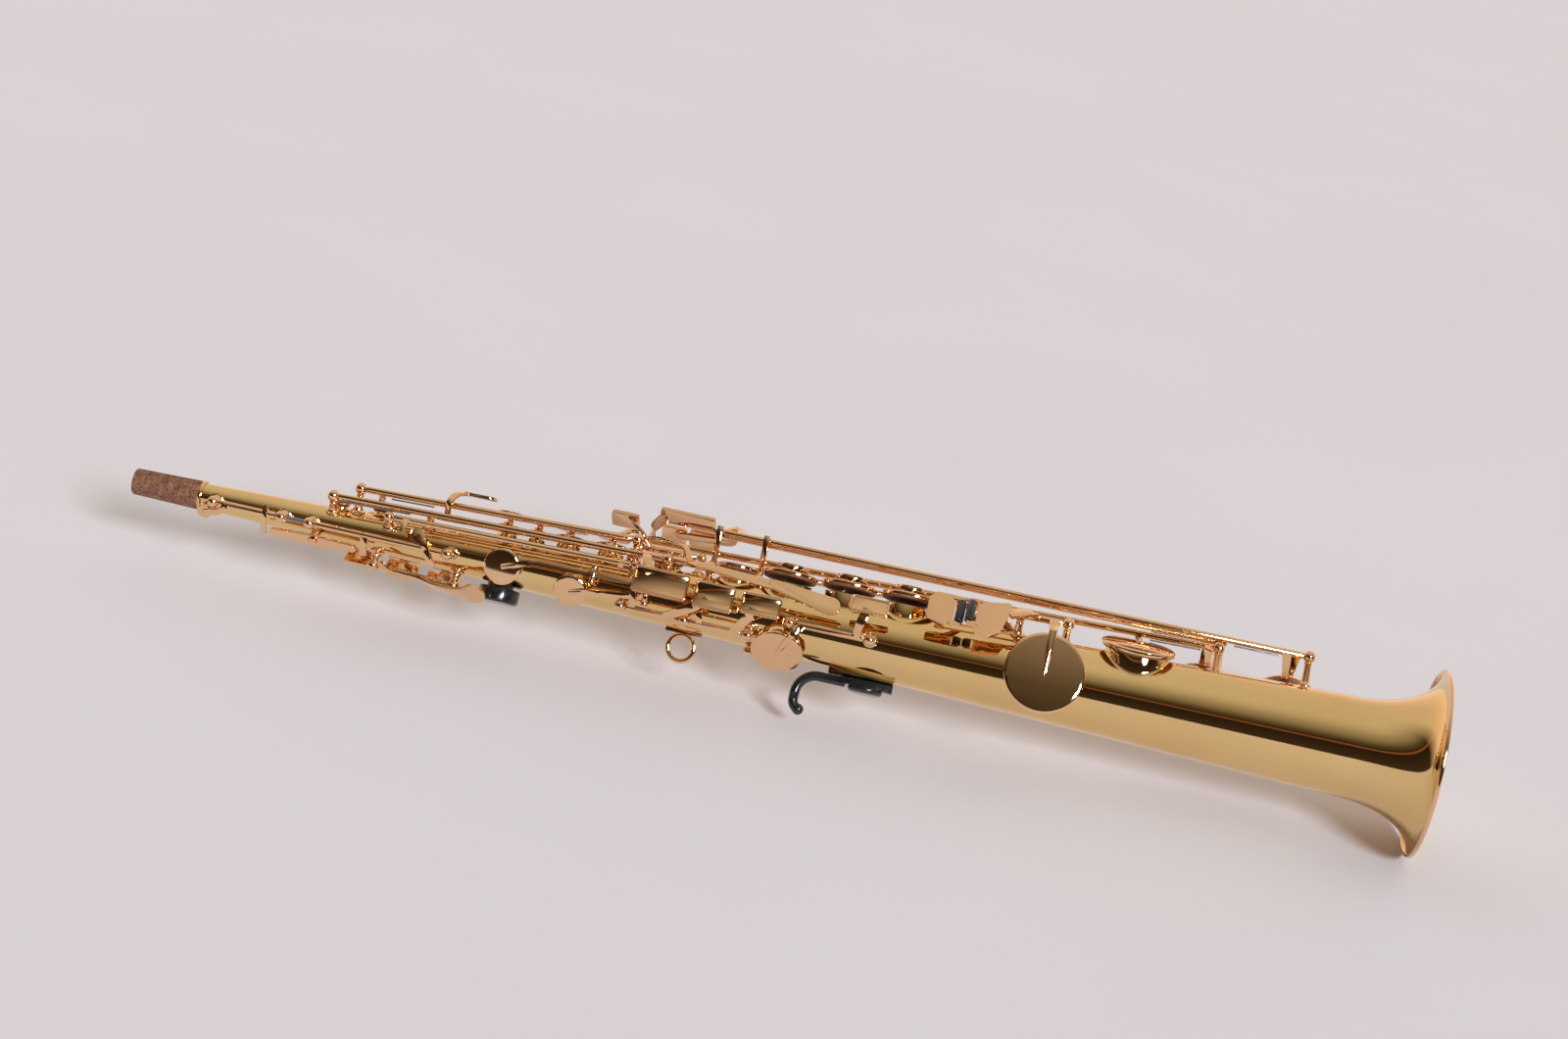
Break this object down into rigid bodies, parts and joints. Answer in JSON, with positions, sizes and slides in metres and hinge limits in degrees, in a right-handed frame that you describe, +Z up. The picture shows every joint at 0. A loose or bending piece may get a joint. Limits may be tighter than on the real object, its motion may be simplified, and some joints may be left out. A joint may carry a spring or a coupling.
{
  "type": "soprano saxophone",
  "caption": "Straight one-piece soprano saxophone with working keys, corked neck, strap ring and thumb hook, lying keys-up at rest.",
  "frame": {"origin": "centre of the neck cork's open end, on the body's axis", "axes": "+X along the body towards the bell, +Z up with the horn rolled 25 degrees back from keys-up, player right towards -Y"},
  "size_m": [0.645, 0.092, 0.092],
  "materials": {
    "gold_lacquer": "polished brass under clear gold lacquer",
    "pink_gold_lacquer": "polished key work under pinkish gold lacquer",
    "steel": "blued steel rods and needle springs",
    "cork": "matte speckled cork",
    "pad_leather": "smooth brown leather",
    "pearl": "pearl plastic",
    "black_plastic": "glossy black plastic"
  },
  "bodies": {
    "body": {"body_tube": "gold_lacquer", "bell_flare": "gold_lacquer", "bell_rim": "pink_gold_lacquer", "neck_ring": "pink_gold_lacquer", "neck_cork": "cork", "octave_pips": "pink_gold_lacquer", "posts": "pink_gold_lacquer", "hinge_rods": "steel", "strap_ring": "pink_gold_lacquer", "hook_plate": "gold_lacquer", "thumb_hook": "black_plastic", "hook_screw": "black_plastic", "thumb_rest": "black_plastic", "needle_springs": "steel"},
    "octave_thumb_lever": {"octave_thumb_lever": "pink_gold_lacquer"},
    "upper_octave_key": {"upper_octave_key": "pink_gold_lacquer"},
    "octave_rocker": {"octave_rocker": "pink_gold_lacquer"},
    "lower_octave_key": {"lower_octave_key": "pink_gold_lacquer"},
    "octave_link": {"octave_link": "pink_gold_lacquer"},
    "palm_f_key": {"palm_f_key": "pink_gold_lacquer"},
    "palm_eb_key": {"palm_eb_key": "pink_gold_lacquer"},
    "palm_d_key": {"palm_d_key": "pink_gold_lacquer"},
    "high_e_key": {"high_e_key": "pink_gold_lacquer"},
    "high_fs_touch": {"high_fs_touch": "pink_gold_lacquer"},
    "high_fs_key": {"high_fs_key": "pink_gold_lacquer"},
    "side_c_touch": {"side_c_touch": "pink_gold_lacquer"},
    "side_bb_touch": {"side_bb_touch": "pink_gold_lacquer"},
    "side_c_key": {"side_c_key": "pink_gold_lacquer"},
    "side_bb_key": {"side_bb_key": "pink_gold_lacquer"},
    "front_f_key": {"front_f_key": "pink_gold_lacquer"},
    "lh_b_key": {"lh_b_key": "pink_gold_lacquer", "lh_b_pearl": "pearl"},
    "lh_bis_key": {"lh_bis_key": "pink_gold_lacquer", "lh_bis_pearl": "pearl"},
    "lh_a_key": {"lh_a_key": "pink_gold_lacquer", "lh_a_pearl": "pearl"},
    "lh_g_key": {"lh_g_key": "pink_gold_lacquer", "lh_g_pearl": "pearl"},
    "gsharp_key": {"gsharp_key": "pink_gold_lacquer"},
    "low_cs_key": {"low_cs_key": "pink_gold_lacquer", "low_cs_pad": "pad_leather"},
    "low_b_key": {"low_b_key": "pink_gold_lacquer", "low_b_pad": "pad_leather"},
    "low_bb_key": {"low_bb_key": "pink_gold_lacquer", "low_bb_pad": "pad_leather"},
    "rh_f_key": {"rh_f_key": "pink_gold_lacquer", "rh_f_pearl": "pearl"},
    "rh_e_key": {"rh_e_key": "pink_gold_lacquer", "rh_e_pearl": "pearl"},
    "rh_d_key": {"rh_d_key": "pink_gold_lacquer", "rh_d_pearl": "pearl"},
    "fs_vent_key": {"fs_vent_key": "pink_gold_lacquer"},
    "alt_fs_key": {"alt_fs_key": "pink_gold_lacquer"},
    "eb_key": {"eb_key": "pink_gold_lacquer"},
    "low_c_key": {"low_c_key": "pink_gold_lacquer", "low_c_pad": "pad_leather"},
    "eb_roller": {"eb_roller": "black_plastic"},
    "low_c_roller": {"low_c_roller": "black_plastic"}
  },
  "joints": [
    {"name": "octave_thumb_lever_joint", "type": "hinge", "parent": "body", "child": "octave_thumb_lever", "pos_m": [0.127, -0.01174, -0.01174], "axis": [0.9992, -0.0276, -0.0276], "range_deg": [-8, 0], "stiffness_Nm_per_rad": 0.12, "springref_deg": 20.05},
    {"name": "upper_octave_key_joint", "type": "hinge", "parent": "body", "child": "upper_octave_key", "pos_m": [0.044, -0.01188, 0.00318], "axis": [0.9992, -0.0378, 0.0101], "range_deg": [-6.4, 0]},
    {"name": "octave_rocker_joint", "type": "hinge", "parent": "body", "child": "octave_rocker", "pos_m": [0.096, -0.01343, -0.00462], "axis": [0, -0.9455, -0.3256], "range_deg": [-3.2, 0]},
    {"name": "lower_octave_key_joint", "type": "hinge", "parent": "body", "child": "lower_octave_key", "pos_m": [0.044, -0.01188, 0.00318], "axis": [0.9992, -0.0378, 0.0101], "range_deg": [0, 6], "stiffness_Nm_per_rad": 0.12, "springref_deg": -20.05},
    {"name": "octave_link_joint", "type": "hinge", "parent": "body", "child": "octave_link", "pos_m": [0.131, -0.00874, 0.01399], "axis": [0.9995, -0.0167, 0.0267], "range_deg": [-5, 0]},
    {"name": "palm_f_key_joint", "type": "hinge", "parent": "body", "child": "palm_f_key", "pos_m": [0.106, 0.01272, -0.00795], "axis": [0.9993, 0.0318, -0.0199], "range_deg": [-8, 0], "stiffness_Nm_per_rad": 0.12, "springref_deg": 20.05},
    {"name": "palm_eb_key_joint", "type": "hinge", "parent": "body", "child": "palm_eb_key", "pos_m": [0.106, 0.01272, -0.00795], "axis": [0.9993, 0.0318, -0.0199], "range_deg": [-8, 0], "stiffness_Nm_per_rad": 0.12, "springref_deg": 20.05},
    {"name": "palm_d_key_joint", "type": "hinge", "parent": "body", "child": "palm_d_key", "pos_m": [0.106, 0.01272, -0.00795], "axis": [0.9993, 0.0318, -0.0199], "range_deg": [-8, 0], "stiffness_Nm_per_rad": 0.12, "springref_deg": 20.05},
    {"name": "high_e_key_joint", "type": "hinge", "parent": "body", "child": "high_e_key", "pos_m": [0.1015, -0.00453, 0.0169], "axis": [0.9995, -0.0082, 0.0307], "range_deg": [0, 5], "stiffness_Nm_per_rad": 0.12, "springref_deg": -20.05},
    {"name": "high_fs_touch_joint", "type": "hinge", "parent": "body", "child": "high_fs_touch", "pos_m": [0.1015, -0.00453, 0.0169], "axis": [0.9995, -0.0082, 0.0307], "range_deg": [0, 5], "stiffness_Nm_per_rad": 0.12, "springref_deg": -20.05},
    {"name": "high_fs_key_joint", "type": "hinge", "parent": "body", "child": "high_fs_key", "pos_m": [0.113, 0.00255, 0.02074], "axis": [0.9995, 0.0039, 0.0314], "range_deg": [0, 5]},
    {"name": "side_c_touch_joint", "type": "hinge", "parent": "body", "child": "side_c_touch", "pos_m": [0.252, -0.0213, -0.00037], "axis": [0.9995, -0.0317, -0.0006], "range_deg": [-5, 0], "stiffness_Nm_per_rad": 0.12, "springref_deg": 20.05},
    {"name": "side_bb_touch_joint", "type": "hinge", "parent": "body", "child": "side_bb_touch", "pos_m": [0.252, -0.0213, -0.00037], "axis": [0.9995, -0.0317, -0.0006], "range_deg": [-5, 0], "stiffness_Nm_per_rad": 0.12, "springref_deg": 20.05},
    {"name": "side_c_key_joint", "type": "hinge", "parent": "body", "child": "side_c_key", "pos_m": [0.236, -0.01627, 0.01057], "axis": [0, 0.5446, 0.8387], "range_deg": [0, 2.5]},
    {"name": "side_bb_key_joint", "type": "hinge", "parent": "body", "child": "side_bb_key", "pos_m": [0.263, -0.01894, 0.00579], "axis": [0, 0.2924, 0.9563], "range_deg": [0, 1.8]},
    {"name": "front_f_key_joint", "type": "hinge", "parent": "body", "child": "front_f_key", "pos_m": [0.15, -0.00114, 0.01636], "axis": [0.9995, -0.0022, 0.0317], "range_deg": [-5, 0], "stiffness_Nm_per_rad": 0.12, "springref_deg": 20.05},
    {"name": "lh_b_key_joint", "type": "hinge", "parent": "body", "child": "lh_b_key", "pos_m": [0.15, -0.00114, 0.01636], "axis": [0.9995, -0.0022, 0.0317], "range_deg": [-6.8, 0], "stiffness_Nm_per_rad": 0.12, "springref_deg": 20.05},
    {"name": "lh_bis_key_joint", "type": "hinge", "parent": "body", "child": "lh_bis_key", "pos_m": [0.15, -0.00114, 0.01636], "axis": [0.9995, -0.0022, 0.0317], "range_deg": [-6.8, 0], "stiffness_Nm_per_rad": 0.12, "springref_deg": 20.05},
    {"name": "lh_a_key_joint", "type": "hinge", "parent": "body", "child": "lh_a_key", "pos_m": [0.15, -0.00114, 0.01636], "axis": [0.9995, -0.0022, 0.0317], "range_deg": [-6.8, 0], "stiffness_Nm_per_rad": 0.12, "springref_deg": 20.05},
    {"name": "lh_g_key_joint", "type": "hinge", "parent": "body", "child": "lh_g_key", "pos_m": [0.15, -0.00114, 0.01636], "axis": [0.9995, -0.0022, 0.0317], "range_deg": [-6.8, 0], "stiffness_Nm_per_rad": 0.12, "springref_deg": 20.05},
    {"name": "gsharp_key_joint", "type": "hinge", "parent": "body", "child": "gsharp_key", "pos_m": [0.252, 0.01476, 0.01698], "axis": [0.9995, 0.0212, 0.0243], "range_deg": [-7, 0], "stiffness_Nm_per_rad": 0.12, "springref_deg": 20.05},
    {"name": "low_cs_key_joint", "type": "hinge", "parent": "body", "child": "low_cs_key", "pos_m": [0.25, 0.02187, 0.01796], "axis": [0.9996, 0.0117, 0.0253], "range_deg": [-6, 0], "stiffness_Nm_per_rad": 0.25, "springref_deg": 20.05},
    {"name": "low_b_key_joint", "type": "hinge", "parent": "body", "child": "low_b_key", "pos_m": [0.2885, 0.02993, 0.02639], "axis": [1, 0.0005, 0.0012], "range_deg": [-4.8, 0], "stiffness_Nm_per_rad": 0.25, "springref_deg": 20.05},
    {"name": "low_bb_key_joint", "type": "hinge", "parent": "body", "child": "low_bb_key", "pos_m": [0.2885, 0.02396, 0.03001], "axis": [1, 0.0016, 0.0039], "range_deg": [-4.8, 0], "stiffness_Nm_per_rad": 0.25, "springref_deg": 20.05},
    {"name": "rh_f_key_joint", "type": "hinge", "parent": "body", "child": "rh_f_key", "pos_m": [0.2885, 0.0233, 0.01345], "axis": [0.9995, 0.0129, 0.0282], "range_deg": [0, 5.8], "stiffness_Nm_per_rad": 0.12, "springref_deg": -20.05},
    {"name": "rh_e_key_joint", "type": "hinge", "parent": "body", "child": "rh_e_key", "pos_m": [0.2885, 0.0233, 0.01345], "axis": [0.9995, 0.0129, 0.0282], "range_deg": [0, 5.8], "stiffness_Nm_per_rad": 0.12, "springref_deg": -20.05},
    {"name": "rh_d_key_joint", "type": "hinge", "parent": "body", "child": "rh_d_key", "pos_m": [0.2885, 0.0233, 0.01345], "axis": [0.9995, 0.0129, 0.0282], "range_deg": [0, 5.8], "stiffness_Nm_per_rad": 0.12, "springref_deg": -20.05},
    {"name": "fs_vent_key_joint", "type": "hinge", "parent": "body", "child": "fs_vent_key", "pos_m": [0.2885, 0.0233, 0.01345], "axis": [0.9995, 0.0129, 0.0282], "range_deg": [0, 5.8]},
    {"name": "alt_fs_key_joint", "type": "hinge", "parent": "body", "child": "alt_fs_key", "pos_m": [0.334, -0.02012, 0.00938], "axis": [0.9995, -0.0279, 0.013], "range_deg": [-6, 0], "stiffness_Nm_per_rad": 0.12, "springref_deg": 20.05},
    {"name": "eb_key_joint", "type": "hinge", "parent": "body", "child": "eb_key", "pos_m": [0.403, 0.00246, 0.02809], "axis": [0.9995, 0.0027, 0.031], "range_deg": [0, 6], "stiffness_Nm_per_rad": 0.12, "springref_deg": -20.05},
    {"name": "low_c_key_joint", "type": "hinge", "parent": "body", "child": "low_c_key", "pos_m": [0.403, 0.00246, 0.02809], "axis": [0.9995, 0.0027, 0.031], "range_deg": [0, 4.8], "stiffness_Nm_per_rad": 0.25, "springref_deg": -20.05},
    {"name": "eb_roller_joint", "type": "hinge", "parent": "eb_key", "child": "eb_roller", "pos_m": [0.4122, -0.01356, 0.03062], "axis": [0, 0.8829, 0.4695], "continuous": true},
    {"name": "low_c_roller_joint", "type": "hinge", "parent": "low_c_key", "child": "low_c_roller", "pos_m": [0.41696, -0.01332, 0.03201], "axis": [0.0023, 0.9205, 0.3908], "continuous": true}
  ],
  "couplings": [
    {"joint": "upper_octave_key_joint", "follows": "octave_thumb_lever_joint", "ratio": 0.8},
    {"joint": "octave_rocker_joint", "follows": "octave_thumb_lever_joint", "ratio": 0.4},
    {"joint": "octave_link_joint", "follows": "lh_g_key_joint", "ratio": 0.7},
    {"joint": "high_fs_key_joint", "follows": "high_fs_touch_joint", "ratio": 1},
    {"joint": "side_c_key_joint", "follows": "side_c_touch_joint", "ratio": -0.5},
    {"joint": "side_bb_key_joint", "follows": "side_bb_touch_joint", "ratio": -0.36},
    {"joint": "fs_vent_key_joint", "follows": "rh_f_key_joint", "ratio": 1}
  ]
}
